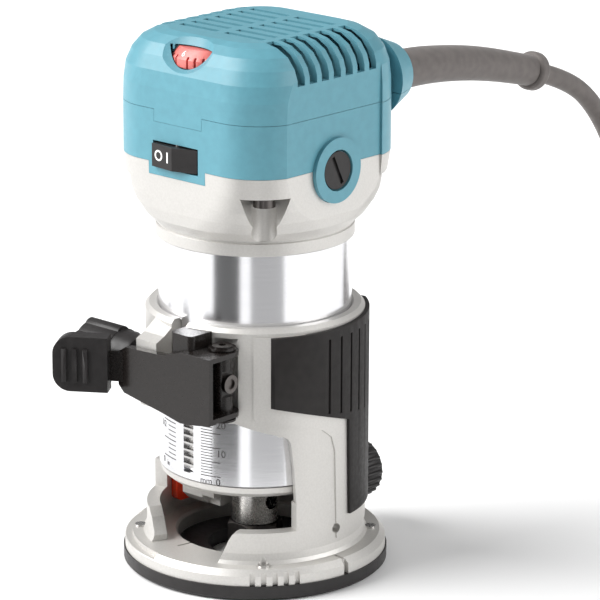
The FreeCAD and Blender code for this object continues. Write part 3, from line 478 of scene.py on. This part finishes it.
def tick(corners, faces, start, end, z, thick):
    first = len(corners)
    steps = 6
    for k in range(steps + 1):
        angle = start + (end - start) * k / steps
        corners.append(on_barrel(angle, z - thick / 2))
        corners.append(on_barrel(angle, z + thick / 2))
        corners.append(on_barrel(angle, z - thick / 2, -0.0001))
        corners.append(on_barrel(angle, z + thick / 2, -0.0001))
    for k in range(steps):
        a = first + 4 * k
        b = a + 4
        faces.append((a, b, b + 1, a + 1))
        faces.append((a + 2, a + 3, b + 3, b + 2))
        faces.append((a + 1, b + 1, b + 3, a + 3))
        faces.append((a, a + 2, b + 2, b))
    last = first + 4 * steps
    faces.append((first, first + 1, first + 3, first + 2))
    faces.append((last, last + 2, last + 3, last + 1))


def millimetre_scale():
    corners, faces = [], []
    for millimetre in range(0, 51):
        long_mark = millimetre % 5 == 0
        start, short_end, long_end = MILLIMETRE_MARKS
        tick(corners, faces, start, long_end if long_mark else short_end,
             SCALE_ZERO_Z + millimetre * MM, 0.00032 if long_mark else 0.00026)
    piece_from("scale_millimetres", corners, faces, "ink", "motor")


def inch_scale():
    corners, faces = [], []
    sixteenth = 25.4 * MM / 16
    for k in range(0, 32):
        long_mark = k % 4 == 0
        start, short_end, long_end = INCH_MARKS
        tick(corners, faces, long_end if long_mark else short_end, start,
             SCALE_ZERO_Z + INCH_ZERO_RISE + k * sixteenth, 0.00034 if long_mark else 0.00028)
    piece_from("scale_inches", corners, faces, "ink", "motor")


def lettering(text, size, thick=0.0):
    """Flat outline of a text as mesh data: corners (x, y) centred on x, and faces."""
    curve = bpy.data.curves.new("letters", "FONT")
    curve.body = text
    curve.size = size
    curve.align_x = "CENTER"
    curve.align_y = "CENTER"
    curve.offset = thick
    curve.resolution_u = 5
    holder = placed("letters", curve)
    bpy.context.view_layer.update()
    mesh = bpy.data.meshes.new_from_object(holder)
    bpy.data.objects.remove(holder)
    corners = [(v.co.x, v.co.y) for v in mesh.vertices]
    faces = [tuple(p.vertices) for p in mesh.polygons]
    return corners, faces


def label(name, text, size, place_point, skin, body, thick=0.0):
    """Letters as thin inlaid plates. place_point turns flat (x, y) into a point in space."""
    flat, faces = lettering(text, size, thick)
    corners = [place_point(x, y) for x, y in flat]
    piece_from(name, corners, faces, skin, body)


def barrel_label(name, text, size, angle, z):
    def spot(x, y):
        return on_barrel(angle + math.degrees(x / BARREL_R), z + y, LETTER_LIFT)

    label(name, text, size, spot, "ink", "motor", 0.00002)


def scale_labels():
    for millimetre in range(0, 51, 10):
        barrel_label("label_" + str(millimetre), str(millimetre), 0.0034, 20.6 + (2.2 if millimetre else 0.4),
                     SCALE_ZERO_Z + millimetre * MM - 0.0020)
    barrel_label("label_mm", "mm", 0.0030, 13.0, SCALE_ZERO_Z - 0.0019)
    for half_inch, text in enumerate(("0", "1/2", "1")):
        barrel_label("label_inch_" + str(half_inch), text, 0.0030, -26.6,
                     SCALE_ZERO_Z + 0.0002 + half_inch * 12.7 * MM)
    barrel_label("label_in", "in", 0.0026, -20.4, SCALE_ZERO_Z - 0.0002)


# ---------------------------------------------------------------- marks on the switch and dial

def flat_label(name, text, size, middle, right, up, body, thick=0.0):
    """White letters lying just above a flat face of the router."""
    right, up = Vector(right).normalized(), Vector(up).normalized()
    outward = right.cross(up)

    def spot(x, y):
        return tuple(Vector(middle) + right * x + up * y + outward * LETTER_LIFT)
    label(name, text, size, spot, "white_mark", body, thick)


def switch_marks():
    """Off and on marks on the left half of the rocker."""
    along = (10.0, -1.0, 0.0)
    flat_label("mark_off", "O", 0.0050, (-0.0078, -0.03774, 0.1460), along, (0, 0, 1), "rocker", 0.0001)
    flat_label("mark_on", "I", 0.0050, (-0.0034, -0.03818, 0.1460), along, (0, 0, 1), "rocker", 0.0001)


def dial_marks():
    """The dial's numbers, on the plain lands of its sloping rim."""
    for step in range(6):
        turn = math.radians(DIAL_FIRST + 60 * step)
        outwards = Vector((math.cos(turn), math.sin(turn), 0))
        middle = DIAL_CENTRE + outwards * DIAL_MARK_R
        flat_label("dial_" + str(6 - step), str(6 - step), 0.0031, middle, (-outwards.y, outwards.x, 0),
                   Vector((0, 0, 3.2)) - outwards * 2.6, "dial", 0.00004)


# ---------------------------------------------------------------- stage, lights and camera

def floor():
    size = 12.0
    corners = [(-size, -size, -0.0004), (size, -size, -0.0004), (size, size, -0.0004), (-size, size, -0.0004)]
    piece = mesh_from("floor", corners, [(0, 1, 2, 3)])
    material = shader("floor_paint", (0.93, 0.93, 0.93), 0.0, 0.8, specular=0.1)
    piece.data.materials.append(material)


def world():
    made = bpy.data.worlds.new("studio")
    made.use_nodes = True
    bpy.context.scene.world = made
    background = made.node_tree.nodes["Background"]
    background.inputs["Color"].default_value = (1.0, 1.0, 1.0, 1)
    background.inputs["Strength"].default_value = 0.33


def soft_sun(name, azimuth, elevation, strength, spread):
    """A wide soft light from a direction. Azimuth 0 is the front and 90 the +X side."""
    light = bpy.data.lights.new(name, "SUN")
    light.energy = strength
    light.angle = math.radians(spread)
    holder = placed(name, light)
    source = Vector(around(azimuth, math.cos(math.radians(elevation)), math.sin(math.radians(elevation))))
    holder.rotation_euler = (-source).to_track_quat("-Z", "Y").to_euler()


def around(azimuth, distance, height):
    """A point round the router. Azimuth 0 is the front and 90 the +X side."""
    turn = math.radians(azimuth)
    return (distance * math.sin(turn), -distance * math.cos(turn), height)


def flag(name, start, end, shade, heights, mirrored=True):
    """A dark cloth, either mirrored by the bright metal or only dimming the light from its side.

    Angles are as in around(), and heights are (distance, height) pairs.
    """
    corners = []
    for distance, height in heights:
        corners += [around(start, distance, height), around(end, distance, height)]
    piece = mesh_from(name, corners, [(0, 1, 3, 2)])
    piece.data.materials.append(shader(name + "_cloth", (shade, shade, shade), 0.0, 0.9, specular=0.05))
    piece.visible_camera = False
    piece.visible_shadow = False
    piece.visible_glossy = mirrored
    piece.visible_diffuse = not mirrored


def lights():
    soft_sun("key", -42, 38, 4.8, 50)
    soft_sun("rim", 118, 30, 1.6, 45)
    for name, start, end, shade in (("front", -5, 26, 0.10), ("right", 38, 76, 0.36)):
        flag("flag_low_" + name, start, end, shade, ((0.13, 0.0), (1.6, 0.0)))
        flag("flag_tall_" + name, start, end, shade, ((1.6, 0.0), (1.6, 0.9)))
    flag("flag_corner", 12, 76, 0.02, ((1.8, 0.0), (1.8, 1.9)), mirrored=False)


def camera():
    azimuth, elevation = math.radians(CAMERA_AZIMUTH), math.radians(CAMERA_ELEVATION)
    back = Vector((math.sin(azimuth) * math.cos(elevation), -math.cos(azimuth) * math.cos(elevation),
                   math.sin(elevation)))
    data = bpy.data.cameras.new("camera")
    data.lens = CAMERA_LENS
    data.sensor_width = 36
    data.shift_x, data.shift_y = CAMERA_SHIFT
    data.clip_start, data.clip_end = 0.05, 60
    holder = placed("camera", data)
    holder.location = CAMERA_TARGET + back * CAMERA_DISTANCE
    holder.rotation_mode = "QUATERNION"
    holder.rotation_quaternion = (-back).to_track_quat("-Z", "Y")
    bpy.context.scene.camera = holder


SKINS["ink"] = moulded("scale_ink", (0.06, 0.055, 0.055), 0.5, 2600, 0.00001, 0.1)
SKINS["white_mark"] = moulded("white_mark", (0.85, 0.85, 0.85), 0.45, 2600, 0.00001, 0.03)

bpy.context.scene.view_settings.view_transform = "Standard"
camera()
world()
lights()
floor()
dress_frame()
ease_all()
cord()
lock_spring()
millimetre_scale()
inch_scale()
scale_labels()
switch_marks()
dial_marks()
